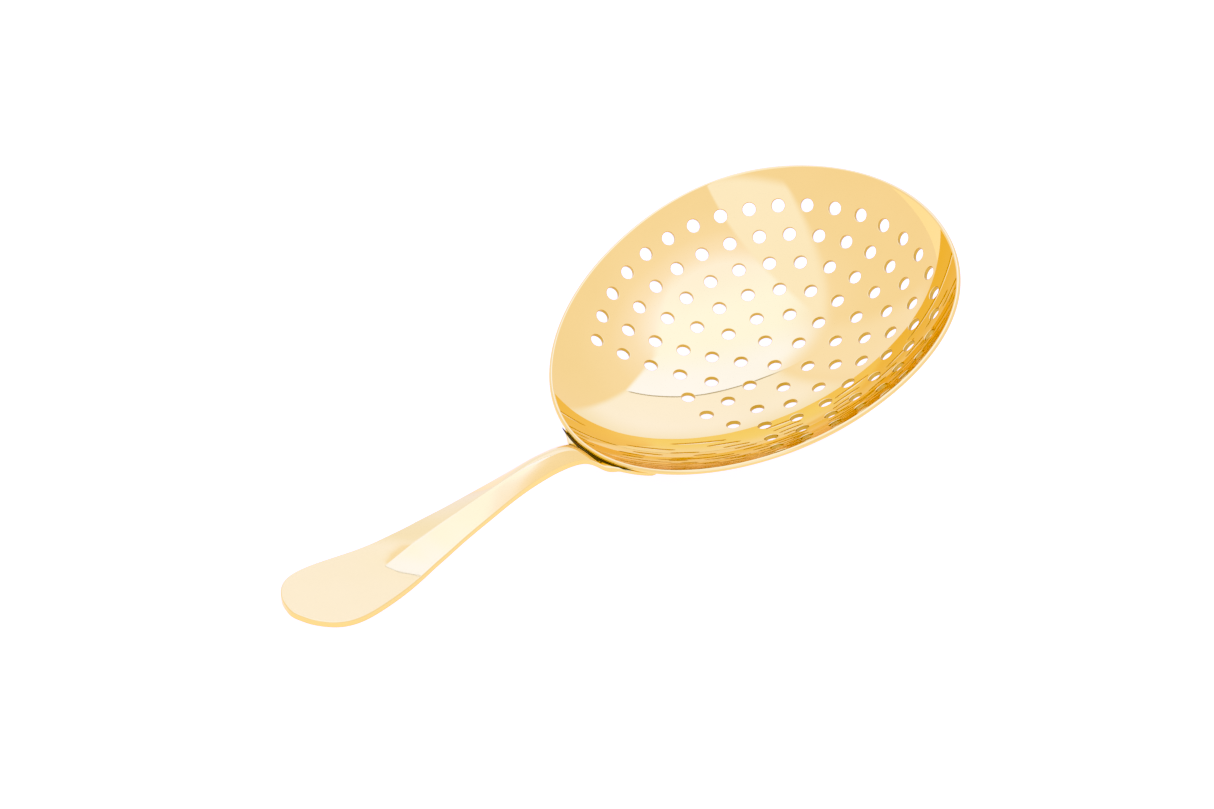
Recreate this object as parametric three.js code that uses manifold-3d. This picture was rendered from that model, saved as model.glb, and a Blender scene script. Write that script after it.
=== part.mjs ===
// A julep strainer: a pierced, egg-shaped metal bowl with a stamped spoon handle brazed under its rim.
// Millimetres, +Z up. The strainer lies as it does on a bar top: the flat of the paddle and the lowest
// point of the bowl both touch z = 0. +X runs from the paddle to the tip of the bowl, and y = 0 is the
// mirror plane. The origin is the middle of the footprint's box, on the surface it rests on.
import * as THREE from "three";
import { mergeVertices } from "three/addons/utils/BufferGeometryUtils.js";
import Module from "manifold-3d";

// ---- driving dimensions (mm, degrees) ----
const OVERALL_SHIFT_X = 47.965; // from the bowl frame's foot to the middle of the box
const BOWL_TILT = 19.1; // the rim's tilt when the strainer lies at rest
const SHEET = 1.0; // bowl sheet thickness
const LIFT = 5.647; // height of the bowl frame's origin over the table
const HOLE_D = 2.8; // pierced holes
const RING_R = [0, 7.336, 13.505, 19.512, 25.271, 30.649, 35.616]; // hole rings, 6n holes on ring n
const RING_STRETCH = [0.0013, 0.0097]; // small oval stretch of the outer rings
const RING_FROM = [0, 0, 0, 0, 3, 4, 5]; // first hole present on each ring, counted from the handle side
const RIM_C = 1.303; // centre of the rim outline on X
const RIM_COS = [42.664, 3.432, 2.875, 1.191, 0.168, 0.105, 0.1]; // rim outline, cosine series of the radius
const RIM_Z = 16.92; // rim plane over the bowl's middle
const RIM_SLOPE = 0.0074;
const BOWL_POLY = [5.7387e-3, 8.1061e-3, 2.6062e-5, 5.6333e-6, 2.01e-6, 4.4095e-6, 1.8852e-6];
const RIM_INSET = 0.57; // the sheet's slope carries its outer face this far out at the rim
const GAP = 0.3; // clearance between brazed faces
const PADDLE_T = 1.4; // handle thickness at the paddle
const STEM_T = 1.0; // handle thickness along the stem's edges and the tongue
// handle stations: x, half width, height of the top face's edge, height of the crown over that edge
const HANDLE = [
  [-130.72, 0.6, 1.4, 0],
  [-130.4, 2.3, 1.4, 0],
  [-129.7, 4.2, 1.4, 0],
  [-128.6, 6.0, 1.4, 0],
  [-127.2, 7.64, 1.4, 0],
  [-125.4, 8.98, 1.4, 0],
  [-123.2, 9.8, 1.4, 0],
  [-121.0, 10.1, 1.4, 0],
  [-118.6, 10.05, 1.4, 0],
  [-115.2, 9.65, 1.4, 0],
  [-111.3, 8.98, 1.4, 0],
  [-108.0, 8.35, 1.5, 0.1],
  [-105.4, 7.85, 1.7, 0.55],
  [-102.8, 7.37, 2.02, 1.05],
  [-99.6, 6.8, 2.55, 1.5],
  [-96.4, 6.3, 3.05, 1.65],
  [-92.1, 5.66, 3.87, 1.75],
  [-87.8, 5.04, 4.6, 1.85],
  [-83.4, 4.54, 5.4, 1.95],
  [-79.0, 4.04, 6.2, 2.0],
  [-74.6, 3.63, 6.95, 2.05],
  [-70.6, 3.44, 7.55, 2.05],
  [-67.2, 3.39, 7.95, 2.05],
  [-64.6, 3.37, 8.13, 2.0],
  [-62.0, 3.4, 8.15, 1.9],
  [-59.4, 3.5, 7.98, 1.7],
  [-57.2, 3.72, 7.55, 1.45],
  [-55.6, 4.15, 6.9, 1.2],
  [-54.3, 4.8, 6.0, 0.9],
  [-53.2, 5.7, 5.1, 0.6],
  [-52.2, 7.0, 4.3, 0.35],
  [-51.0, 8.7, 3.6, 0.15],
  [-49.6, 10.3, 3.2, 0],
  [-47.8, 11.4, 3.0, 0],
  [-46.0, 11.9, 2.8, 0],
  [-44.4, 11.3, 2.6, 0],
  [-43.2, 10.0, 2.5, 0],
  [-42.3, 8.0, 2.4, 0],
  [-41.7, 5.4, 2.3, 0],
  [-41.4, 2.2, 2.3, 0],
];
const TONGUE_FROM = -54.2,
  TONGUE_FULL = -51.4; // where the handle's top turns into the bowl's underside

const wasm = await Module();
wasm.setup();

// ---- the bowl's surface, in its own frame (z up from the middle hole) ----
const rimR = (th) => RIM_COS.reduce((s, a, k) => s + a * Math.cos(k * th), 0);
const poly = (x, y) => {
  const [a, b, c, d, e, g, h] = BOWL_POLY;
  return (
    a * x * x + b * y * y + c * x ** 3 + d * x * y * y + e * x ** 4 + g * x * x * y * y + h * y ** 4
  );
};
const inner = (x, y) => {
  const dx = x - RIM_C,
    th = Math.atan2(y, -dx),
    R = rimR(th) - RIM_INSET,
    s = Math.hypot(dx, y) / R;
  const xr = RIM_C - R * Math.cos(th),
    yr = R * Math.sin(th);
  return poly(x, y) + (RIM_Z + RIM_SLOPE * xr - poly(xr, yr)) * s ** 5;
};
const normal = (x, y) => {
  const h = 0.05;
  return new THREE.Vector3(
    -(inner(x + h, y) - inner(x - h, y)) / (2 * h),
    -(inner(x, y + h) - inner(x, y - h)) / (2 * h),
    1,
  ).normalize();
};
const TILT = (BOWL_TILT * Math.PI) / 180;
// bowl frame to part frame
const place = (p) =>
  new THREE.Vector3(
    p.x * Math.cos(TILT) - p.z * Math.sin(TILT) + OVERALL_SHIFT_X,
    p.y,
    p.x * Math.sin(TILT) + p.z * Math.cos(TILT) + LIFT,
  );
const onInner = (x, y) => new THREE.Vector3(x, y, inner(x, y));
const onOuter = (x, y) => onInner(x, y).addScaledVector(normal(x, y), -SHEET);

// ---- mesh helpers ----
const geometryOf = (points, faces) =>
  new THREE.BufferGeometry()
    .setAttribute(
      "position",
      new THREE.BufferAttribute(new Float32Array(points.flatMap((p) => [p.x, p.y, p.z])), 3),
    )
    .setIndex(faces.flat());
const solidOf = (geometry) => {
  geometry.deleteAttribute("normal");
  geometry.deleteAttribute("uv");
  const merged = mergeVertices(geometry, 1e-4);
  return new wasm.Manifold(
    new wasm.Mesh({
      numProp: 3,
      vertProperties: merged.attributes.position.array,
      triVerts: new Uint32Array(merged.index.array),
    }),
  );
};
const fromSolid = (solid) => {
  const m = solid.getMesh();
  const g = new THREE.BufferGeometry()
    .setAttribute("position", new THREE.BufferAttribute(new Float32Array(m.vertProperties), 3))
    .setIndex(new THREE.BufferAttribute(m.triVerts, 1));
  const flat = g.toNonIndexed();
  flat.computeVertexNormals();
  return flat;
};

// ---- bowl: two skins of a polar grid, closed round the rim ----
const RINGS = [0.14, 0.3, 0.44, 0.57, 0.69, 0.8, 0.9, 1.0];
const SECTORS = 40;
function bowlShell() {
  const points = [],
    faces = [];
  const skins = [onInner, onOuter].map((on) => {
    const start = points.length;
    points.push(place(on(RIM_C, 0)));
    for (const s of RINGS)
      for (let k = 0; k < SECTORS; k++) {
        const th = (2 * Math.PI * k) / SECTORS,
          R = (rimR(th) - RIM_INSET) * s;
        points.push(place(on(RIM_C - R * Math.cos(th), R * Math.sin(th))));
      }
    return start;
  });
  const id = (skin, ring, k) => skins[skin] + 1 + ring * SECTORS + (k % SECTORS);
  for (let k = 0; k < SECTORS; k++) {
    faces.push([skins[0], id(0, 0, k + 1), id(0, 0, k)], [skins[1], id(1, 0, k), id(1, 0, k + 1)]);
    for (let r = 0; r + 1 < RINGS.length; r++) {
      faces.push([id(0, r, k), id(0, r, k + 1), id(0, r + 1, k + 1)], [id(0, r, k), id(0, r + 1, k + 1), id(0, r + 1, k)]);
      faces.push([id(1, r, k), id(1, r + 1, k + 1), id(1, r, k + 1)], [id(1, r, k), id(1, r + 1, k), id(1, r + 1, k + 1)]);
    }
    const e = RINGS.length - 1;
    faces.push([id(0, e, k), id(0, e, k + 1), id(1, e, k + 1)], [id(0, e, k), id(1, e, k + 1), id(1, e, k)]);
  }
  return solidOf(geometryOf(points, faces));
}
// the punch for each hole, square to the sheet
const holes = [];
RING_R.forEach((R, n) => {
  if (!n) return holes.push([0, 0]);
  for (let k = RING_FROM[n]; k <= 6 * n - RING_FROM[n] && k < 6 * n; k++) {
    const phi = (2 * Math.PI * k) / (6 * n);
    const s = R * (1 + (R / RING_R[6]) * RING_STRETCH[0] * Math.cos(phi) + RING_STRETCH[1] * Math.cos(2 * phi));
    holes.push([-s * Math.cos(phi), s * Math.sin(phi)]);
  }
});
let bowl = bowlShell();
for (const [x, y] of holes) {
  const n = normal(x, y);
  const punch = new THREE.CylinderGeometry(HOLE_D / 2, HOLE_D / 2, 4 * SHEET, 7);
  punch.applyQuaternion(new THREE.Quaternion().setFromUnitVectors(new THREE.Vector3(0, 1, 0), n));
  const c = onInner(x, y).addScaledVector(n, -SHEET / 2);
  punch.translate(c.x, c.y, c.z);
  punch.rotateY(-TILT);
  punch.translate(OVERALL_SHIFT_X, 0, LIFT);
  bowl = bowl.subtract(solidOf(punch));
}

// ---- handle: a loft of flat-backed, crowned sections ----
// height of the bowl's underside over a point of the part frame
function underside(x, y) {
  let u = (x - OVERALL_SHIFT_X) * Math.cos(TILT) + 2,
    v = y,
    p;
  for (let i = 0; i < 30; i++) {
    p = place(onOuter(u, v));
    u += (x - p.x) * 0.9;
    v += (y - p.y) * 0.9;
  }
  return p.z;
}
const smooth = (a, b, x) => {
  const t = Math.min(1, Math.max(0, (x - a) / (b - a)));
  return t * t * (3 - 2 * t);
};
const ACROSS = [-1, -0.75, -0.5, -0.25, 0, 0.25, 0.5, 0.75, 1];
function handleSolid() {
  const points = [],
    faces = [],
    n = ACROSS.length;
  for (const [x, w, z, crown] of HANDLE) {
    const X = x + OVERALL_SHIFT_X;
    const t = THREE.MathUtils.lerp(PADDLE_T, STEM_T, smooth(-112, -90, x));
    const k = smooth(TONGUE_FROM, TONGUE_FULL, x);
    const top = ACROSS.map((a) => {
      const own = z + crown * (1 - Math.abs(a));
      return THREE.MathUtils.lerp(own, k > 0 ? underside(X, a * w) - GAP : own, k);
    });
    ACROSS.forEach((a, i) => points.push(new THREE.Vector3(X, a * w, top[i])));
    ACROSS.forEach((a, i) => points.push(new THREE.Vector3(X, a * w, THREE.MathUtils.lerp(z - t, top[i] - t, k))));
  }
  const id = (s, side, i) => s * 2 * n + side * n + i;
  for (let s = 0; s + 1 < HANDLE.length; s++) {
    for (let i = 0; i + 1 < n; i++) {
      faces.push([id(s, 0, i), id(s + 1, 0, i), id(s + 1, 0, i + 1)], [id(s, 0, i), id(s + 1, 0, i + 1), id(s, 0, i + 1)]);
      faces.push([id(s, 1, i), id(s + 1, 1, i + 1), id(s + 1, 1, i)], [id(s, 1, i), id(s, 1, i + 1), id(s + 1, 1, i + 1)]);
    }
    faces.push([id(s, 0, 0), id(s, 1, 0), id(s + 1, 1, 0)], [id(s, 0, 0), id(s + 1, 1, 0), id(s + 1, 0, 0)]);
    faces.push([id(s, 0, n - 1), id(s + 1, 1, n - 1), id(s, 1, n - 1)], [id(s, 0, n - 1), id(s + 1, 0, n - 1), id(s + 1, 1, n - 1)]);
  }
  const e = HANDLE.length - 1;
  for (let i = 0; i + 1 < n; i++) {
    faces.push([id(0, 0, i), id(0, 0, i + 1), id(0, 1, i + 1)], [id(0, 0, i), id(0, 1, i + 1), id(0, 1, i)]);
    faces.push([id(e, 0, i), id(e, 1, i + 1), id(e, 0, i + 1)], [id(e, 0, i), id(e, 1, i), id(e, 1, i + 1)]);
  }
  return solidOf(geometryOf(points, faces));
}

// ---- braze bead: the fillet of filler round the tongue's inner end, under the bowl ----
const BEAD = 0.8; // leg of the fillet
function beadSolid() {
  const ends = HANDLE.filter(([x]) => x > -46.5);
  const path = [
    ...ends.map(([x, w]) => [x, -w]),
    ...ends.slice().reverse().map(([x, w]) => [x, w]),
  ];
  const points = [],
    faces = [];
  path.forEach(([x, y], i) => {
    const a = path[Math.max(0, i - 1)],
      b = path[Math.min(path.length - 1, i + 1)];
    const t = new THREE.Vector2(b[0] - a[0], b[1] - a[1]).normalize(),
      o = new THREE.Vector2(t.y, -t.x); // away from the tongue
    const at = (d, drop) => {
      const X = x + o.x * d + OVERALL_SHIFT_X,
        Y = y + o.y * d;
      return new THREE.Vector3(X, Y, underside(X, Y) - GAP - drop);
    };
    points.push(at(GAP, 0), at(GAP + BEAD, 0), at(GAP, BEAD));
  });
  const n = path.length;
  for (let i = 0; i + 1 < n; i++)
    for (let j = 0; j < 3; j++) {
      const a = 3 * i + j,
        b = 3 * i + ((j + 1) % 3);
      faces.push([a, b, b + 3], [a, b + 3, a + 3]);
    }
  faces.push([0, 2, 1], [3 * n - 3, 3 * n - 2, 3 * n - 1]);
  return solidOf(geometryOf(points, faces));
}

const gold = new THREE.MeshStandardMaterial({ color: 0xf6d9a0, metalness: 1, roughness: 0.08 });
const goldHandle = new THREE.MeshStandardMaterial({ color: 0xf7dfb0, metalness: 1, roughness: 0.1 });
const filler = new THREE.MeshStandardMaterial({ color: 0xe8c98c, metalness: 1, roughness: 0.3 });

const strainer = new THREE.Group();
const add = (name, solid, material) => {
  const mesh = new THREE.Mesh(fromSolid(solid), material);
  mesh.name = name;
  strainer.add(mesh);
};
add("bowl", bowl, gold);
add("handle", handleSolid(), goldHandle);
add("braze_bead", beadSolid(), filler);

export default strainer;
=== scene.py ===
"""A gold-plated julep strainer: pierced bowl, spoon handle and the braze that joins them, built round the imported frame."""
import bpy, math
import numpy as np
from mathutils import Vector, Matrix
from mathutils.geometry import delaunay_2d_cdt


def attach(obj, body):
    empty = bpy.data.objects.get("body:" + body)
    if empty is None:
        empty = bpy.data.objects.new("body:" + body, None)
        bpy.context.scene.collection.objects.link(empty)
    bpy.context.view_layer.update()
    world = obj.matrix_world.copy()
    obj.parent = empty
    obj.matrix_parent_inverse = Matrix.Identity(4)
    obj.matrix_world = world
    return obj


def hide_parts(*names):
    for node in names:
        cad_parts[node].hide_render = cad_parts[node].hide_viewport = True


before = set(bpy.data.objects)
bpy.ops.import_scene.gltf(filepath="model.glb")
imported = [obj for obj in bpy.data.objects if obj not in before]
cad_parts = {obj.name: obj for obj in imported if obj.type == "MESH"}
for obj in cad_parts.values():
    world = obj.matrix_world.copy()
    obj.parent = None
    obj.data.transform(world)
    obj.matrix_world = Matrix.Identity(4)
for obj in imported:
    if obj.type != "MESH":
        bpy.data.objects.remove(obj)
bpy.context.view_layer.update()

# ------------------------------------------------------------------ shared dimensions (mm), the same as the design's
TILT = math.radians(19.1)
SX, LIFT = 47.965, 5.647
SHEET = 1.0
HOLE_R = 1.4
RING_R = [0, 7.336, 13.505, 19.512, 25.271, 30.649, 35.616]
RING_STRETCH = (0.0013, 0.0097)
RING_FROM = [0, 0, 0, 0, 3, 4, 5]
RIM_C = 1.303
RIM_COS = [42.664, 3.432, 2.875, 1.191, 0.168, 0.105, 0.1]
RIM_Z, RIM_SLOPE, RIM_INSET = 16.92, 0.0074, 0.57
WALL_CURL, WALL_DIP = 1.35, 0.72  # the wall steepens a little towards the rim
POLY = (5.7387e-3, 8.1061e-3, 2.6062e-5, 5.6333e-6, 2.01e-6, 4.4095e-6, 1.8852e-6)
# handle stations: x, half width, height of the top's edge, crown
HANDLE = np.array([
    [-130.72, 0.6, 1.4, 0], [-130.4, 2.3, 1.4, 0], [-129.7, 4.2, 1.4, 0], [-128.6, 6.0, 1.4, 0],
    [-127.2, 7.64, 1.4, 0], [-125.4, 8.98, 1.4, 0], [-123.2, 9.8, 1.4, 0.0], [-121.0, 10.1, 1.4, 0],
    [-118.6, 10.05, 1.4, 0], [-115.2, 9.65, 1.4, 0], [-111.3, 8.98, 1.42, 0], [-108.0, 8.35, 1.5, 0.1],
    [-105.4, 7.85, 1.7, 0.55], [-102.8, 7.37, 2.02, 1.05], [-99.6, 6.8, 2.55, 1.5], [-96.4, 6.3, 3.05, 1.65],
    [-92.1, 5.66, 3.87, 1.8], [-87.8, 5.04, 4.6, 1.9], [-83.4, 4.54, 5.4, 1.98], [-79.0, 4.04, 6.2, 2.02],
    [-74.6, 3.63, 6.95, 2.05], [-70.6, 3.44, 7.55, 2.05], [-67.2, 3.39, 7.95, 2.02], [-64.6, 3.37, 8.13, 1.95],
    [-62.0, 3.4, 8.15, 1.85], [-59.4, 3.5, 7.98, 1.65], [-57.2, 3.72, 7.55, 1.4], [-55.6, 4.15, 6.9, 1.1],
    [-54.3, 4.8, 6.0, 0.8], [-53.2, 5.7, 5.1, 0.5], [-52.2, 7.0, 4.3, 0.25], [-51.0, 8.7, 3.6, 0.1],
    [-49.6, 10.3, 3.2, 0], [-47.8, 11.4, 3.0, 0], [-46.0, 11.9, 2.8, 0], [-44.4, 11.3, 2.6, 0],
    [-43.2, 10.0, 2.5, 0], [-42.3, 8.0, 2.4, 0], [-41.7, 5.4, 2.3, 0], [-41.4, 2.2, 2.3, 0],
])
PADDLE_T, STEM_T = 1.4, 1.0
LAP = 0.07  # braze film between the tongue and the bowl
MM = 0.001

# ------------------------------------------------------------------ bowl surface, in the bowl's own frame
def rim_r(th):
    return sum(a * np.cos(k * th) for k, a in enumerate(RIM_COS))

def poly(x, y):
    a, b, c, d, e, g, h = POLY
    return a * x * x + b * y * y + c * x ** 3 + d * x * y * y + e * x ** 4 + g * x * x * y * y + h * y ** 4

def inner(x, y):
    dx = x - RIM_C
    th = np.arctan2(y, -dx)
    R = rim_r(th) - RIM_INSET
    s = np.hypot(dx, y) / R
    xr, yr = RIM_C - R * np.cos(th), R * np.sin(th)
    return poly(x, y) + (RIM_Z + RIM_SLOPE * xr - poly(xr, yr)) * s ** 5 + WALL_CURL * s ** 9 - WALL_DIP * s * s

def surf(x, y):
    """Points on the inner face and its unit normals."""
    h = 0.02
    z = inner(x, y)
    zx = (inner(x + h, y) - inner(x - h, y)) / (2 * h)
    zy = (inner(x, y + h) - inner(x, y - h)) / (2 * h)
    n = np.stack([-zx, -zy, np.ones_like(z)], -1)
    n /= np.linalg.norm(n, axis=-1)[..., None]
    return np.stack([x, y, z], -1), n

C, S = math.cos(TILT), math.sin(TILT)
ROT = np.array([[C, 0, -S], [0, 1, 0], [S, 0, C]])
def place(p):
    return p @ ROT.T + np.array([SX, 0, LIFT])

# ------------------------------------------------------------------ mesh building
class Builder:
    """Collects vertices with exact normals, and faces, and makes one smooth mesh."""
    def __init__(self):
        self.v, self.n, self.f, self.count = [], [], [], 0
    def add(self, pts, nrm):
        pts, nrm = np.atleast_2d(pts), np.atleast_2d(nrm)
        start = self.count
        self.v.append(pts)
        self.n.append(nrm / np.maximum(np.linalg.norm(nrm, axis=1)[:, None], 1e-9))
        self.count += len(pts)
        return np.arange(start, start + len(pts))
    def strip(self, a, b, closed=True):
        """Quads between two loops of equal length."""
        k = len(a)
        for i in range(k if closed else k - 1):
            j = (i + 1) % k
            self.f.append((int(a[i]), int(a[j]), int(b[j]), int(b[i])))
    def make(self, name):
        v = np.concatenate(self.v) * MM
        n = np.concatenate(self.n)
        faces = []
        for f in self.f:  # every face turns the way its exact normals point
            f = tuple(map(int, f))
            a, b, c = v[f[0]], v[f[1]], v[f[2]]
            g = np.cross(b - a, c - a)
            if len(f) == 4:
                g = g + np.cross(c - a, v[f[3]] - a)
            faces.append(f[::-1] if g @ (n[list(f)].sum(0)) < 0 else f)
        self.f = faces
        me = bpy.data.meshes.new(name)
        me.from_pydata(v.tolist(), [], [tuple(map(int, f)) for f in self.f])
        me.validate(clean_customdata=False)
        me.polygons.foreach_set("use_smooth", [True] * len(me.polygons))
        me.update()
        if len(me.vertices) == len(n):
            me.normals_split_custom_set_from_vertices([tuple(x) for x in n])
        o = bpy.data.objects.new(name, me)
        bpy.context.scene.collection.objects.link(o)
        return o

def triangulate(points, loops, keep):
    """Constrained Delaunay of plan points with closed loops (index lists) as constraints; keep(centroids) picks the triangles."""
    edges = []
    for lp in loops:
        m = len(lp)
        edges += [(int(lp[i]), int(lp[(i + 1) % m])) for i in range(m)]
    out = delaunay_2d_cdt([Vector((float(a), float(b))) for a, b in points], edges, [], 0, 1e-6)
    verts, tris, orig = out[0], out[2], out[3]
    index = [o[0] if o else -1 for o in orig]
    T = np.array([[index[a] for a in t] for t in tris if len(t) == 3])
    T = T[(T >= 0).all(1)]
    P = np.asarray(points, float)
    c = P[T].mean(1)
    T = T[keep(c)]
    a, b, d = P[T[:, 0]], P[T[:, 1]], P[T[:, 2]]
    area = (b[:, 0] - a[:, 0]) * (d[:, 1] - a[:, 1]) - (b[:, 1] - a[:, 1]) * (d[:, 0] - a[:, 0])
    T[area < 0] = T[area < 0][:, ::-1]
    return T

def hexgrid(x0, x1, y0, y1, step):
    pts, row = [], 0
    y = y0
    while y <= y1:
        xs = np.arange(x0 + (step / 2 if row % 2 else 0), x1, step)
        pts.append(np.stack([xs, np.full_like(xs, y)], 1))
        y += step * 0.866
        row += 1
    return np.concatenate(pts)

# ------------------------------------------------------------------ bowl
def hole_centres():
    out = [(0.0, 0.0)]
    for n in range(1, 7):
        for k in range(RING_FROM[n], min(6 * n - RING_FROM[n], 6 * n - 1) + 1):
            phi = 2 * math.pi * k / (6 * n)
            s = RING_R[n] * (1 + (RING_R[n] / RING_R[6]) * RING_STRETCH[0] * math.cos(phi) + RING_STRETCH[1] * math.cos(2 * phi))
            out.append((-s * math.cos(phi), s * math.sin(phi)))
    return np.array(out)

def build_bowl():
    B = Builder()
    NR, NH, LIP = 420, 36, 0.16
    EDGE = 0.5
    th = np.linspace(0, 2 * np.pi, NR, endpoint=False)
    Rin = rim_r(th) - RIM_INSET - EDGE * 0.8
    rim = np.stack([RIM_C - Rin * np.cos(th), Rin * np.sin(th)], 1)
    centres = hole_centres()
    _, nc = surf(centres[:, 0], centres[:, 1])
    # the rim outline is the first constraint loop
    loops_pts, loops = [rim], [np.arange(NR)]
    count = NR
    be = np.linspace(0, 2 * np.pi, NH, endpoint=False)
    frames = []
    for c, n in zip(centres, nc):
        e1 = np.cross([0, 1, 0], n); e1 /= np.linalg.norm(e1)
        e2 = np.cross(n, e1)
        frames.append((c, e1, e2))
    def ring_plan(fr, rad):
        c, e1, e2 = fr
        p = rad * (np.cos(be)[:, None] * e1 + np.sin(be)[:, None] * e2)
        return c + p[:, :2]
    for fr in frames:
        loops_pts.append(ring_plan(fr, HOLE_R + LIP))
        loops.append(np.arange(count, count + NH))
        count += NH
    for fr in frames:  # a free ring round each hole
        loops_pts.append(ring_plan(fr, HOLE_R + LIP + 0.35)[::2])
        count += NH // 2
    g = hexgrid(-52, 46, -42, 42, 1.25)
    dx = g[:, 0] - RIM_C
    t = np.arctan2(g[:, 1], -dx)
    ok = np.hypot(dx, g[:, 1]) < rim_r(t) - RIM_INSET - EDGE - 0.9
    d = np.hypot(g[:, None, 0] - centres[None, :, 0], g[:, None, 1] - centres[None, :, 1]).min(1)
    g = g[ok & (d > HOLE_R + LIP + 0.8)]
    pts = np.concatenate(loops_pts + [g])
    def keep(c):
        dx = c[:, 0] - RIM_C
        t = np.arctan2(c[:, 1], -dx)
        inside = np.hypot(dx, c[:, 1]) < rim_r(t) - RIM_INSET - EDGE * 0.8
        hit = np.zeros(len(c), bool)
        for (cc, e1, e2) in frames:
            q = c - cc
            m = np.array([e1[:2], e2[:2]]).T
            w = np.linalg.solve(m, q.T).T
            hit |= np.hypot(w[:, 0], w[:, 1]) < (HOLE_R + LIP) * 0.993
        return inside & ~hit
    T = triangulate(pts, loops, keep)
    P, N = surf(pts[:, 0], pts[:, 1])
    top = B.add(place(P), N @ ROT.T)
    bot = B.add(place(P - N * SHEET), -N @ ROT.T)
    for a, b, c in T:
        B.f.append((top[a], top[b], top[c]))
        B.f.append((bot[a], bot[c], bot[b]))
    # holes: rounded lip, wall, rounded lip
    # painted shade: the faces of the hole walls are collected here to get a darker gold than the bowl
    painted_shade_bores = []
    for i, fr in enumerate(frames):
        base = loops[1 + i]
        prev = top[base]
        rows = [(a, 0) for a in (22.5, 45, 67.5, 90)] + [(90, 1)] + [(67.5, 2), (45, 2), (22.5, 2)]
        for ang, where in rows:
            a = math.radians(ang)
            rad = HOLE_R + LIP * (1 - math.sin(a))
            depth = LIP * (1 - math.cos(a)) if where == 0 else SHEET - LIP * (1 - math.cos(a))
            if where == 1:
                depth = SHEET - LIP
            pl = ring_plan(fr, rad)
            p, n = surf(pl[:, 0], pl[:, 1])
            c3, n3 = surf(np.array([fr[0][0]]), np.array([fr[0][1]]))
            inward = c3 - p
            inward -= (inward * n).sum(1)[:, None] * n
            inward /= np.linalg.norm(inward, axis=1)[:, None]
            nn = inward * math.sin(a) + n * (math.cos(a) if where == 0 else -math.cos(a))
            cur = B.add(place(p - n * depth), nn @ ROT.T)
            if ang == 90 or (ang, where) == (67.5, 2):
                painted_shade_bores += range(len(B.f), len(B.f) + NH)
            B.strip(prev, cur)
            prev = cur
        B.strip(prev, bot[base])
    # rim: a full round, slightly flattened, between the two faces
    p, n = surf(rim[:, 0], rim[:, 1])
    out = np.stack([-np.cos(th), np.sin(th), 0 * th], 1)
    tan = np.roll(p, -1, 0) - np.roll(p, 1, 0)
    tau = np.cross(tan, n)
    tau /= np.linalg.norm(tau, axis=1)[:, None]
    tau *= np.sign((tau * out).sum(1))[:, None]
    prev = top[:NR]
    mid = p - n * SHEET / 2
    for k in range(1, 14):
        a = math.pi * k / 14
        ca, sa = math.cos(a), math.sin(a)
        e = 2 / 2.6
        x = np.sign(ca) * abs(ca) ** e * SHEET / 2
        y = abs(sa) ** e * EDGE
        # normal of the superellipse
        nx = np.sign(ca) * abs(ca) ** (2 - e) / (SHEET / 2)
        ny = abs(sa) ** (2 - e) / EDGE
        cur = B.add(place(mid + n * x + tau * y), (n * nx + tau * ny) @ ROT.T)
        B.strip(cur, prev)
        prev = cur
    B.strip(bot[:NR], prev)
    o = B.make("strainer_bowl")
    if len(o.data.polygons) == len(B.f):
        index = np.zeros(len(B.f), np.int32)
        index[painted_shade_bores] = 1
        o.data.polygons.foreach_set("material_index", index)
    return o

# ------------------------------------------------------------------ handle
def hermite(xk, yk):
    """A smooth curve through points that doesn't overshoot."""
    h = np.diff(xk); d = np.diff(yk) / h
    m = np.zeros(len(xk))
    for i in range(1, len(xk) - 1):
        if d[i - 1] * d[i] > 0:
            w1, w2 = 2 * h[i] + h[i - 1], h[i] + 2 * h[i - 1]
            m[i] = (w1 + w2) / (w1 / d[i - 1] + w2 / d[i])
    m[0], m[-1] = d[0], d[-1]
    def f(x):
        x = np.clip(x, xk[0], xk[-1])
        i = np.clip(np.searchsorted(xk, x) - 1, 0, len(h) - 1)
        t = (x - xk[i]) / h[i]
        return ((1 + 2 * t) * (1 - t) ** 2 * yk[i] + t * (1 - t) ** 2 * h[i] * m[i]
                + t * t * (3 - 2 * t) * yk[i + 1] + t * t * (t - 1) * h[i] * m[i + 1])
    return f

def smoothed(f, x, w):
    """f averaged over a small window, so that its slope is even too."""
    o = np.linspace(-1, 1, 9)
    k = (1 - o * o) ** 2
    return sum(kk * f(x + w * oo) for kk, oo in zip(k, o)) / k.sum()

XH = HANDLE[:, 0]
f_edge, f_crown, f_half = hermite(XH, HANDLE[:, 2]), hermite(XH, HANDLE[:, 3]), hermite(XH, HANDLE[:, 1])
TONGUE_FROM, TONGUE_FULL = -54.4, -51.2

def smooth01(a, b, x):
    t = np.clip((x - a) / (b - a), 0, 1)
    return t * t * (3 - 2 * t)

def underside(x, y):
    """Height of the bowl's outer face over points of the part frame (x already shifted)."""
    u, v = (x - SX) * C + 2.0, y.copy()
    for _ in range(40):
        p, n = surf(u, v)
        q = place(p - n * SHEET)
        u = u + (x - q[:, 0]) * 0.9
        v = v + (y - q[:, 1]) * 0.9
    return q[:, 2]

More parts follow.
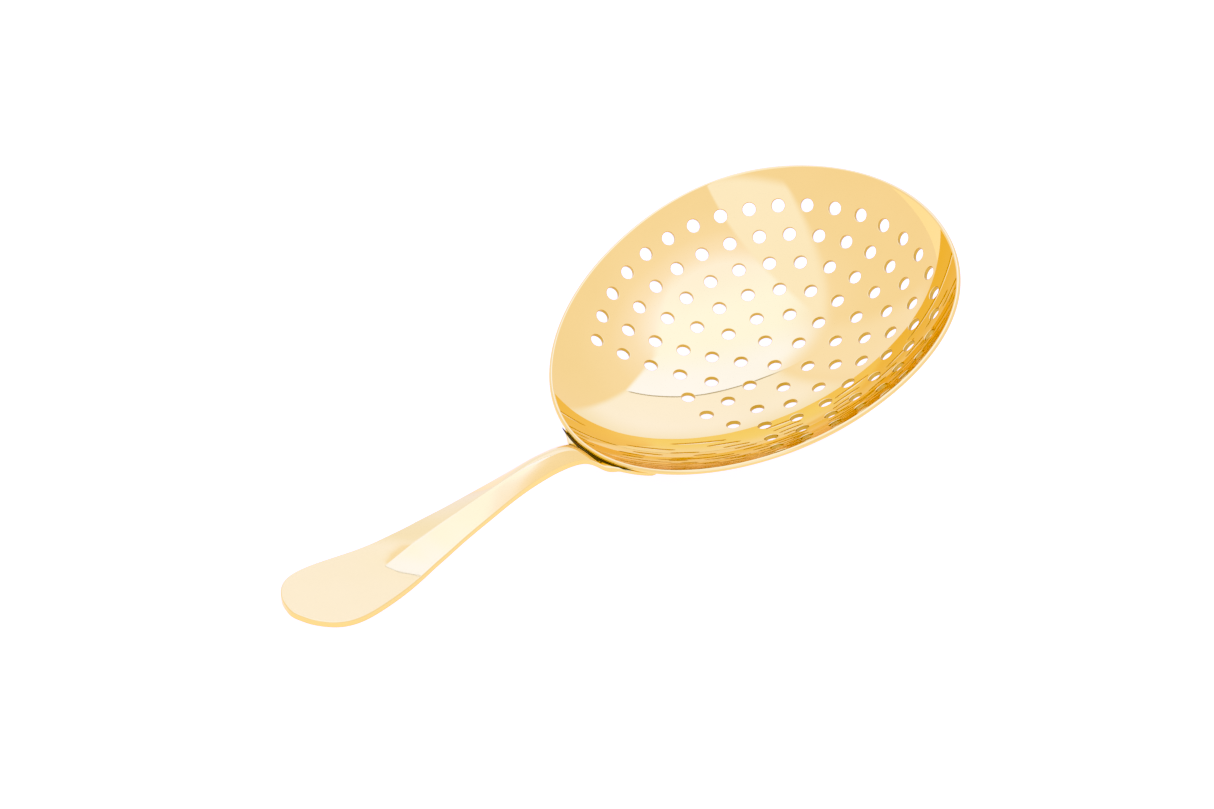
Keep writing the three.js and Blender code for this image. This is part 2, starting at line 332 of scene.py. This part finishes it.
def handle_top(x, y):
    """Height of the handle's top face; x in the handle table's frame."""
    w = np.maximum(f_half(x), 0.5)
    u = np.clip(np.abs(y) / w, 0, 1.05)
    ze = smoothed(f_edge, x, 1.5)
    cr = smoothed(f_crown, x, 1.5)
    soft = np.sqrt(y * y + 0.12 ** 2) / w
    gable = 1 - soft
    dome = 1 - u ** 2 * (1.5 - 0.5 * u)
    arc = -108.5 + 0.062 * y * y
    facet = smooth01(-0.12, 0.12, x - arc)  # the crisp end of the two facets on the paddle
    roundneck = smooth01(-78, -66, x)
    shape = dome * (1 - facet) + gable * facet
    shape = shape * (1 - roundneck) + (1 - u ** 2 * (1.3 - 0.3 * u)) * roundneck
    own = ze + cr * shape
    k = smooth01(TONGUE_FROM, TONGUE_FULL, x)
    out = own.copy()
    m = k > 0
    if m.any():
        lap = underside(x[m] + SX, y[m]) - LAP
        out[m] = own[m] * (1 - k[m]) + lap * k[m]
    return out

def handle_thick(x):
    return PADDLE_T + (STEM_T - PADDLE_T) * smooth01(-112, -90, x)

def handle_bottom(x, y):
    k = smooth01(TONGUE_FROM, TONGUE_FULL, x)
    t = handle_thick(x)
    own = smoothed(f_edge, x, 1.5) - t
    out = own.copy()
    m = k > 0
    if m.any():
        out[m] = own[m] * (1 - k[m]) + (handle_top(x[m], y[m]) - t[m]) * k[m]
    flat = x < -112
    out[flat] = 0.0
    return out

def gradient(f, x, y, h=0.03):
    return (f(x + h, y) - f(x - h, y)) / (2 * h), (f(x, y + h) - f(x, y - h)) / (2 * h)

def closed_spline(P, n):
    """n points evenly spaced along a periodic cubic spline through P, and the outward normals."""
    P = np.asarray(P, float)
    m = len(P)
    d = np.linalg.norm(np.roll(P, -1, 0) - P, axis=1)
    t = np.concatenate([[0], np.cumsum(d)])
    A = np.zeros((m, m)); R = np.zeros((m, 2))
    for i in range(m):
        hm, h = d[i - 1], d[i]
        A[i, (i - 1) % m] += 1 / hm; A[i, i] += 2 / hm + 2 / h; A[i, (i + 1) % m] += 1 / h
        R[i] = 3 * ((P[i] - P[i - 1]) / hm ** 2 + (P[(i + 1) % m] - P[i]) / h ** 2)
    M = np.linalg.solve(A, R)
    def at(s):
        s = np.mod(s, t[-1])
        i = np.clip(np.searchsorted(t, s, side="right") - 1, 0, m - 1)
        h = d[i]; u = ((s - t[i]) / h)[:, None]; h = h[:, None]
        a, b, ma, mb = P[i], P[(i + 1) % m], M[i], M[(i + 1) % m]
        p = (1 + 2 * u) * (1 - u) ** 2 * a + u * (1 - u) ** 2 * h * ma + u * u * (3 - 2 * u) * b + u * u * (u - 1) * h * mb
        q = (6 * u * u - 6 * u) / h * a + (1 - 4 * u + 3 * u * u) * ma + (6 * u - 6 * u * u) / h * b + (3 * u * u - 2 * u) * mb
        return p, q
    fine = np.linspace(0, t[-1], 6000, endpoint=False)
    p, q = at(fine)
    seg = np.linalg.norm(np.roll(p, -1, 0) - p, axis=1)
    cum = np.concatenate([[0], np.cumsum(seg)])
    s = np.interp(np.linspace(0, cum[-1], n, endpoint=False), cum[:-1], fine)
    p, q = at(s)
    q /= np.linalg.norm(q, axis=1)[:, None]
    return p, np.stack([q[:, 1], -q[:, 0]], 1)

def build_handle():
    B = Builder()
    rows = HANDLE[1:-1]
    pts = [(-130.86, 0.0)] + [(x, -w) for x, w in rows[:, :2]] + [(-41.35, 0.0)] + [(x, w) for x, w in rows[::-1, :2]]
    N = 760
    line, out = closed_spline(pts, N)
    area = 0.5 * np.sum(line[:, 0] * np.roll(line[:, 1], -1) - np.roll(line[:, 0], -1) * line[:, 1])
    if area < 0:
        line, out = line[::-1], out[::-1]
    # outward means away from the middle line
    test = line + out * 0.01
    if np.mean(np.abs(test[:, 1]) > np.abs(line[:, 1])) < 0.5:
        out = -out
    RT, RB = 0.30, 0.30
    def loop_at(r):
        return line - out * r
    def path_inside(poly_, q):
        x, y = q[:, 0], q[:, 1]
        inside = np.zeros(len(q), bool)
        a = poly_; b = np.roll(poly_, -1, 0)
        for (x1, y1), (x2, y2) in zip(a, b):
            c = ((y1 > y) != (y2 > y))
            xi = (x2 - x1) * (y - y1) / (y2 - y1 + 1e-15) + x1
            inside ^= c & (x < xi)
        return inside
    faces_of = {}
    for side, r in (("top", RT), ("bottom", RB)):
        lp = loop_at(r)
        lp2 = loop_at(r + 0.22)
        step = 0.55 if side == "top" else 0.9
        g = hexgrid(-131, -41, -12.5, 12.5, step)
        lim = loop_at(r + 0.22 + 0.3)
        g = g[path_inside(lim, g)]
        if side == "top":  # the ridge and the ends of the facets are edges of the mesh
            rx = np.arange(-108.3, -50, 0.4)
            ridge = np.stack([rx, 0 * rx], 1)
            ay = np.arange(-7.4, 7.41, 0.2)
            arcs = [np.stack([-108.5 + 0.062 * ay ** 2 + o, ay], 1) for o in (-0.13, -0.04, 0.04, 0.13)]
            arcs = [a[path_inside(lim, a)] for a in arcs]
            extra = np.concatenate([ridge] + [ridge + [0, 0.13], ridge - [0, 0.13]] + arcs)
            ex_keep = path_inside(lim, extra)
            extra = extra[ex_keep]
            d = np.abs(g[:, 1]) < 0.35
            d &= g[:, 0] > -108.5
            e = np.abs(g[:, 0] - (-108.5 + 0.062 * g[:, 1] ** 2)) < 0.35
            g = g[~(d | e)]
            extra = np.unique(np.round(extra, 3), axis=0)
            # ridge lines near the arc would crowd
            near = (np.abs(extra[:, 1]) < 0.3) & (np.abs(extra[:, 0] + 108.5) < 0.25) & (np.abs(extra[:, 1]) > 1e-6)
            g = np.concatenate([g, extra[~near]])
        P2 = np.concatenate([lp, lp2[::1], g])
        T = triangulate(P2, [np.arange(N)], lambda c: path_inside(lp, c))
        f = handle_top if side == "top" else handle_bottom
        z = f(P2[:, 0], P2[:, 1])
        gx, gy = gradient(f, P2[:, 0], P2[:, 1])
        nrm = np.stack([-gx, -gy, np.ones_like(gx)], 1)
        pos = np.stack([P2[:, 0] + SX, P2[:, 1], z], 1)
        faces_of[side] = (pos, nrm, T)
    pos, nrm, T = faces_of["top"]
    top = B.add(pos, nrm)
    for t in T:
        B.f.append((top[t[0]], top[t[1]], top[t[2]]))
    posb, nrmb, Tb = faces_of["bottom"]
    bot = B.add(posb, -nrmb)
    for t in Tb:
        B.f.append((bot[t[0]], bot[t[2]], bot[t[1]]))
    out3 = np.stack([out[:, 0], out[:, 1], 0 * out[:, 0]], 1)
    # top fillet starts with the face's own slope
    def fillet(pos, nrm, sign, r):
        n = nrm / np.linalg.norm(nrm, axis=1)[:, None]
        lean = (n * out3).sum(1)
        a0 = np.arcsin(np.clip(lean, -0.9, 0.9))
        up = np.array([0, 0, float(sign)])
        c = pos - r * (np.sin(a0)[:, None] * out3 + np.cos(a0)[:, None] * up)
        res = []
        for t in (0.25, 0.5, 0.75, 1.0):
            a = a0 + (math.pi / 2 - a0) * t
            d = np.sin(a)[:, None] * out3 + np.cos(a)[:, None] * up
            res.append((c + r * d, d))
        return res
    ft = fillet(pos[:N], nrm[:N], 1, RT)
    fb = fillet(posb[:N], -nrmb[:N], -1, RB)
    prev = top[:N]
    for p, d in ft:
        cur = B.add(p, d)
        B.strip(cur, prev)
        prev = cur
    lo = []
    for p, d in fb:
        lo.append(B.add(p, d))
    for cur in lo[::-1]:
        B.strip(cur, prev)
        prev = cur
    B.strip(bot[:N], prev)
    return B.make("strainer_handle")

# ------------------------------------------------------------------ braze fillet round the tongue, under the bowl
def build_braze():
    B = Builder()
    rows = HANDLE[(HANDLE[:, 0] > -47.2)]
    right = [(x, -w) for x, w in rows[:, :2]]
    left = [(x, w) for x, w in rows[::-1, :2]]
    P = np.array(right + left)
    # resample and smooth the path
    d = np.concatenate([[0], np.cumsum(np.linalg.norm(np.diff(P, axis=0), axis=1))])
    s = np.linspace(0, d[-1], 150)
    path = np.stack([np.interp(s, d, P[:, 0]), np.interp(s, d, P[:, 1])], 1)
    for _ in range(6):
        path[1:-1] = (path[:-2] + 2 * path[1:-1] + path[2:]) / 4
    tan = np.gradient(path, axis=0)
    tan /= np.linalg.norm(tan, axis=1)[:, None]
    out = np.stack([tan[:, 1], -tan[:, 0]], 1)
    rng = np.random.RandomState(7)
    wave = np.zeros(len(s))
    for k in range(1, 9):
        wave += rng.uniform(-1, 1) * np.sin(2 * np.pi * k * s / d[-1] * 1.7 + rng.uniform(0, 6)) / k
    leg = 0.72 + 0.10 * wave
    leg *= np.clip(np.minimum(s, d[-1] - s) / 2.5, 0.12, 1)
    sec = 9
    loops = []
    for j in range(sec):
        t = j / (sec - 1)
        # concave arc from far out on the bowl to low on the tongue's side
        a = t * math.pi / 2
        off = leg * (1 - math.sin(a)) * 1.15 - 0.02
        drop = leg * (1 - math.cos(a)) * 0.9
        q = path + out * off[:, None]
        z = underside(q[:, 0] + SX, q[:, 1]) - 0.01 - drop
        loops.append(np.stack([q[:, 0] + SX, q[:, 1], z], 1))
    q = path - out * 0.25
    z = underside(q[:, 0] + SX, q[:, 1]) - 0.03 - leg * 0.5
    loops.append(np.stack([q[:, 0] + SX, q[:, 1], z], 1))
    z = underside(q[:, 0] + SX, q[:, 1]) + 0.02
    loops.append(np.stack([q[:, 0] + SX, q[:, 1], z], 1))
    L = np.stack(loops)  # section, along, xyz
    ids = [B.add(l, np.tile([0, 0, -1.0], (len(l), 1))) for l in L]
    m = len(loops)
    for j in range(m):
        a, b = ids[j], ids[(j + 1) % m]
        for i in range(len(s) - 1):
            B.f.append((int(a[i]), int(a[i + 1]), int(b[i + 1]), int(b[i])))
    B.f.append(tuple(int(x[0]) for x in ids))
    B.f.append(tuple(int(x[-1]) for x in ids[::-1]))
    # painted shade: a dark bead standing in for the shade of the crevice where the rim comes down on the tongue
    END = 0.205
    th = np.linspace(-END, END, 90)
    R = rim_r(th) - RIM_INSET
    rp, rn = surf(RIM_C - R * np.cos(th), R * np.sin(th))
    lowp = place(rp - rn * SHEET)
    outd = np.stack([-np.cos(th), np.sin(th), 0 * th], 1)
    r_ = (0.17 + 0.13 * np.clip(th / END, 0, 1)) * np.sqrt(np.clip(1 - (th / END) ** 2, 0.004, 1)) * (1 + 0.12 * np.sin(th * 31 + 1.0) + 0.08 * np.sin(th * 57))
    mid = lowp + outd * 0.22
    mid[:, 2] = handle_top(mid[:, 0] - SX, mid[:, 1]) + 0.02
    ring = []
    painted_shade_from = len(B.f)
    for j in range(10):
        a = 2 * math.pi * j / 10
        ring.append(B.add(mid + outd * (r_ * math.cos(a) * 1.2)[:, None] + np.array([0, 0, 1.0]) * (r_ * math.sin(a))[:, None], np.tile([0, 0, 1.0], (len(th), 1))))
    for j in range(10):
        a, b = ring[j], ring[(j + 1) % 10]
        for i in range(len(th) - 1):
            B.f.append((int(a[i]), int(a[i + 1]), int(b[i + 1]), int(b[i])))
    B.f.append(tuple(int(x[0]) for x in ring))
    B.f.append(tuple(int(x[-1]) for x in ring[::-1]))
    o = Builder.make(B, "braze_fillet")
    o.data.polygons.foreach_set("material_index", [int(i >= painted_shade_from) for i in range(len(o.data.polygons))])
    return o

bowl = build_bowl()
handle = build_handle()
braze = build_braze()

# braze: plain smooth normals, faces pointing out
import bmesh
def tidy(o, outward=True):
    bm = bmesh.new()
    bm.from_mesh(o.data)
    bmesh.ops.recalc_face_normals(bm, faces=bm.faces)
    bm.to_mesh(o.data)
    bm.free()
if braze.data.has_custom_normals:
    with bpy.context.temp_override(object=braze, active_object=braze):
        bpy.ops.mesh.customdata_custom_splitnormals_clear()
tidy(braze)

# ------------------------------------------------------------------ materials
def node(nt, kind, **kw):
    n = nt.nodes.new(kind)
    for k, v in kw.items():
        setattr(n, k, v)
    return n

def gold(name, base, deep, rough, peel=0.05, scratch=0.05):
    """Mirror-polished gold plate: a slightly uneven plate colour, polishing haze, fine wipe marks and a faint ripple."""
    m = bpy.data.materials.new(name)
    m.use_nodes = True
    nt = m.node_tree
    nt.nodes.clear()
    out = node(nt, "ShaderNodeOutputMaterial")
    b = node(nt, "ShaderNodeBsdfPrincipled")
    b.inputs["Metallic"].default_value = 1.0
    nt.links.new(b.outputs[0], out.inputs[0])
    tc = node(nt, "ShaderNodeTexCoord")
    # plate colour: broad, faint drift between two golds
    n1 = node(nt, "ShaderNodeTexNoise")
    n1.inputs["Scale"].default_value = 38.0
    n1.inputs["Detail"].default_value = 3.0
    nt.links.new(tc.outputs["Object"], n1.inputs["Vector"])
    mix = node(nt, "ShaderNodeMix", data_type="RGBA")
    mix.inputs["A"].default_value = (*base, 1)
    mix.inputs["B"].default_value = (*deep, 1)
    ramp = node(nt, "ShaderNodeMapRange")
    ramp.inputs["From Min"].default_value = 0.35
    ramp.inputs["From Max"].default_value = 0.75
    nt.links.new(n1.outputs["Fac"], ramp.inputs["Value"])
    nt.links.new(ramp.outputs[0], mix.inputs["Factor"])
    nt.links.new(mix.outputs["Result"], b.inputs["Base Color"])
    # haze: roughness a little higher in fine clouds and along wipe marks
    n2 = node(nt, "ShaderNodeTexNoise")
    n2.inputs["Scale"].default_value = 420.0
    n2.inputs["Detail"].default_value = 5.0
    nt.links.new(tc.outputs["Object"], n2.inputs["Vector"])
    mp = node(nt, "ShaderNodeMapping")
    mp.inputs["Scale"].default_value = (60.0, 2600.0, 900.0)
    mp.inputs["Rotation"].default_value = (0.1, 0.35, 0.5)
    nt.links.new(tc.outputs["Object"], mp.inputs["Vector"])
    n3 = node(nt, "ShaderNodeTexNoise")
    n3.inputs["Scale"].default_value = 1.0
    n3.inputs["Detail"].default_value = 2.0
    nt.links.new(mp.outputs[0], n3.inputs["Vector"])
    marks = node(nt, "ShaderNodeMapRange")
    marks.inputs["From Min"].default_value = 0.62
    marks.inputs["From Max"].default_value = 0.80
    nt.links.new(n3.outputs["Fac"], marks.inputs["Value"])
    r1 = node(nt, "ShaderNodeMapRange")
    r1.inputs["From Min"].default_value = 0.3
    r1.inputs["From Max"].default_value = 0.8
    r1.inputs["To Min"].default_value = rough * 0.7
    r1.inputs["To Max"].default_value = rough * 1.5
    nt.links.new(n2.outputs["Fac"], r1.inputs["Value"])
    add = node(nt, "ShaderNodeMath", operation="MULTIPLY_ADD")
    add.inputs[1].default_value = scratch
    nt.links.new(marks.outputs[0], add.inputs[0])
    nt.links.new(r1.outputs[0], add.inputs[2])
    nt.links.new(add.outputs[0], b.inputs["Roughness"])
    # ripple of hand polishing
    n4 = node(nt, "ShaderNodeTexNoise")
    n4.inputs["Scale"].default_value = 95.0
    n4.inputs["Detail"].default_value = 1.5
    nt.links.new(tc.outputs["Object"], n4.inputs["Vector"])
    bump = node(nt, "ShaderNodeBump")
    bump.inputs["Strength"].default_value = peel
    bump.inputs["Distance"].default_value = 0.0006
    nt.links.new(n4.outputs["Fac"], bump.inputs["Height"])
    nt.links.new(bump.outputs[0], b.inputs["Normal"])
    return m

BASE, DEEP = (0.935, 0.66, 0.205), (0.915, 0.64, 0.19)
mat_bowl = gold("bowl_gold", BASE, DEEP, 0.022, peel=0.03, scratch=0.03)
mat_handle = gold("handle_gold", BASE, DEEP, 0.06, peel=0.06)
mat_braze = gold("braze_gold", (0.86, 0.60, 0.22), (0.78, 0.52, 0.18), 0.24, peel=0.3)
# painted shade: near-black gold for the bead that stands in for the crevice's shade between rim and tongue
mat_crevice_painted_shade = gold("braze_crevice_painted_shade", (0.10, 0.052, 0.028), (0.035, 0.016, 0.010), 0.35, peel=0.5, scratch=0.1)
# painted shade: darker amber gold on the hole walls in place of their dim reflections
mat_bore_painted_shade = gold("bore_gold_painted_shade", (0.70, 0.42, 0.085), (0.58, 0.33, 0.06), 0.20, peel=0.3)
idx = np.zeros(len(bowl.data.polygons), np.int32)
bowl.data.polygons.foreach_get("material_index", idx)
bowl.data.materials.append(mat_bowl)
bowl.data.materials.append(mat_bore_painted_shade)
bowl.data.polygons.foreach_set("material_index", idx)
handle.data.materials.append(mat_handle)
idx = np.zeros(len(braze.data.polygons), np.int32)
braze.data.polygons.foreach_get("material_index", idx)
braze.data.materials.append(mat_braze)
braze.data.materials.append(mat_crevice_painted_shade)
braze.data.polygons.foreach_set("material_index", idx)

for o, body, old, slot in ((bowl, "root", "bowl", "bowl_gold"), (handle, "root", "handle", "handle_gold"), (braze, "root", "braze_bead", "braze_filler")):
    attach(o, body)
    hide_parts(old)

# ------------------------------------------------------------------ floor, light, camera
me = bpy.data.meshes.new("floor")
F = 3.0
me.from_pydata([(-F, -F, 0), (F, -F, 0), (F, F, 0), (-F, F, 0)], [], [(0, 1, 2, 3)])
floor = bpy.data.objects.new("floor", me)
floor.location.z = -0.0003
bpy.context.scene.collection.objects.link(floor)
fm = bpy.data.materials.new("pale_floor")
fm.use_nodes = True
fb = fm.node_tree.nodes["Principled BSDF"]
fb.inputs["Base Color"].default_value = (0.22, 0.22, 0.22, 1)
fb.inputs["Roughness"].default_value = 0.9
fb.inputs["Specular IOR Level"].default_value = 0.0
# a lit white table, so the pale floor stays even under the bowl
fb.inputs["Emission Color"].default_value = (0.77, 0.77, 1.0, 1)
fb.inputs["Emission Strength"].default_value = 1.13
me.materials.append(fm)

# a round studio: white sides, a brighter, cooler soft ceiling, and a tall white card beyond the bowl
world = bpy.data.worlds.new("studio")
bpy.context.scene.world = world
world.use_nodes = True
wn = world.node_tree
wn.nodes.clear()
PEAK = 4.2
COOL = 1.51
def w_node(kind, **kw):
    return node(wn, kind, **kw)
def math_(op, a, b=None):
    n = w_node("ShaderNodeMath", operation=op)
    for i, v in enumerate((a, b)):
        if v is None:
            continue
        if isinstance(v, (int, float)):
            n.inputs[i].default_value = v
        else:
            wn.links.new(v, n.inputs[i])
    return n.outputs[0]
def edge(v, lo, hi):
    n = w_node("ShaderNodeMapRange", interpolation_type="SMOOTHSTEP")
    n.inputs["From Min"].default_value = lo
    n.inputs["From Max"].default_value = hi
    wn.links.new(v, n.inputs["Value"])
    return n.outputs[0]
def blend_(a, b, f):
    n = w_node("ShaderNodeMix", data_type="RGBA")
    wn.links.new(f, n.inputs["Factor"])
    for key, v in (("A", a), ("B", b)):
        if isinstance(v, tuple):
            n.inputs[key].default_value = (v[0] / PEAK, v[1] / PEAK, v[2] * COOL / PEAK, 1.0)
        else:
            wn.links.new(v, n.inputs[key])
    return n.outputs["Result"]
wtc = w_node("ShaderNodeTexCoord")
sep = w_node("ShaderNodeSeparateXYZ")
wn.links.new(wtc.outputs["Generated"], sep.inputs[0])
X_, Y_, Z_ = sep.outputs
el = math_("MULTIPLY", math_("ARCSINE", Z_), 180 / math.pi)
az = math_("MULTIPLY", math_("ARCTAN2", Y_, X_), 180 / math.pi)
# the same directions as points on a flat ceiling one unit up
high = math_("MAXIMUM", Z_, 0.04)
CX, CY = math_("DIVIDE", X_, high), math_("DIVIDE", Y_, high)
def line(a, b):
    return math_("ADD", math_("MULTIPLY", CX, a), math_("MULTIPLY", CY, b))
def below(v, at, soft):
    return math_("SUBTRACT", 1.0, edge(v, at - soft, at + soft))
def inside(v, lo, hi, soft):
    return math_("MULTIPLY", edge(v, lo - soft, lo + soft), below(v, hi, soft))
ramp = w_node("ShaderNodeValToRGB")
wn.links.new(math_("DIVIDE", math_("ADD", el, 10.0), 100.0), ramp.inputs[0])
stops = [(-10, (0.98, 0.99, 1.0)), (0, (1.0, 1.0, 1.03)), (38, (1.0, 1.03, 1.12)), (52, (1.02, 1.07, 1.25)), (62, (1.05, 1.16, 1.6)),
         (70, (1.08, 1.32, 2.2)), (80, (1.07, 1.30, 2.15)), (90, (1.08, 1.34, 2.3))]
cr = ramp.color_ramp
while len(cr.elements) < len(stops):
    cr.elements.new(0.5)
for e_, (p_, c_) in zip(cr.elements, stops):
    e_.position = (p_ + 10) / 100
    e_.color = (c_[0] / PEAK, c_[1] / PEAK, c_[2] * COOL / PEAK, 1.0)
sky = ramp.outputs[0]
d1, d2, d3, d4 = line(0.664, 0.748), line(-0.455, 0.890), line(0.846, -0.534), line(-0.61, 0.79)
# overhead soft box: straight edges, with a notch at one corner
notch = math_("MAXIMUM", below(d3, 0.343, 0.035), edge(d2, -0.163, -0.113))
box_top = math_("MULTIPLY", math_("MULTIPLY", below(d1, 0.781, 0.004), below(d4, 0.58, 0.26)), notch)
box_top = math_("MULTIPLY", box_top, edge(line(0.55, 0.83), -0.45, 0.12))
sky = blend_(sky, (1.08, 1.42, 2.35), box_top)
sky = blend_(sky, (1.08, 1.43, 2.75), math_("MULTIPLY", box_top, edge(d1, 0.25, 0.6)))
# tall white card beyond it
card = math_("MULTIPLY", math_("MULTIPLY", edge(d1, 0.777, 0.785), inside(az, 18, 74, 2)), edge(el, -4, 4))
sky = blend_(sky, (1.0, 1.15, 1.45), card)
sky = blend_(sky, (1.06, 1.29, 2.05), math_("MULTIPLY", card, edge(el, 20, 36)))
side = math_("MULTIPLY", inside(az, 74, 100, 6), inside(el, 8, 50, 5))
sky = blend_(sky, (1.03, 1.12, 1.4), side)
# strip light behind the camera
strip = math_("MULTIPLY", math_("MULTIPLY", below(line(0.964, -0.267), -0.369, 0.025), edge(line(0.597, -0.803), -0.78, -0.62)), edge(el, 20, 27))
sky = blend_(sky, (1.06, 1.25, 1.8), strip)
# the dark gap between the soft box and the card
seam = math_("MULTIPLY", inside(d1, 0.774, 0.787, 0.003), math_("MULTIPLY", edge(d2, -0.14, -0.10), edge(CX, 0.2, 0.3)))
sky = blend_(sky, (0.35, 0.32, 0.25), math_("MULTIPLY", seam, 0.85))
bg = w_node("ShaderNodeBackground")
wn.links.new(sky, bg.inputs["Color"])
bg.inputs["Strength"].default_value = PEAK
wo = w_node("ShaderNodeOutputWorld")
wn.links.new(bg.outputs[0], wo.inputs[0])
bpy.context.scene.view_settings.view_transform = "Standard"
grade = bpy.context.scene.view_settings  # a slight deepening of the ambers
grade.use_curve_mapping = True
grade.curve_mapping.black_level = (0.0, 0.0, 0.05)
grade.curve_mapping.update()
bpy.context.scene.cycles.glossy_bounces = 12  # the bowl reflects itself many times

# camera: solved in the bowl's frame (mm), moved to the part frame
AZ, EL, ROLL = (math.radians(v) for v in (57.691065, 44.495153, -16.455225))
EYE = np.array([-426.895149, -608.035997, 731.875571])
fw = np.array([math.cos(AZ) * math.cos(EL), math.sin(AZ) * math.cos(EL), -math.sin(EL)])
r0 = np.cross(fw, [0, 0, 1.0]); r0 /= np.linalg.norm(r0)
u0 = np.cross(r0, fw)
right = r0 * math.cos(ROLL) + u0 * math.sin(ROLL)
up = -r0 * math.sin(ROLL) + u0 * math.cos(ROLL)
eye = place(EYE) * MM
R3 = np.stack([ROT @ right, ROT @ up, -(ROT @ fw)], 1)
cam = bpy.data.cameras.new("camera")
cam.sensor_fit = "HORIZONTAL"
cam.sensor_width = 36.0
cam.lens = 36.0 * 5000 / 1214
cam.clip_start, cam.clip_end = 0.05, 20
co = bpy.data.objects.new("camera", cam)
M = Matrix([list(R3[0]) + [eye[0]], list(R3[1]) + [eye[1]], list(R3[2]) + [eye[2]], [0, 0, 0, 1]])
co.matrix_world = M
bpy.context.scene.collection.objects.link(co)
bpy.context.scene.camera = co
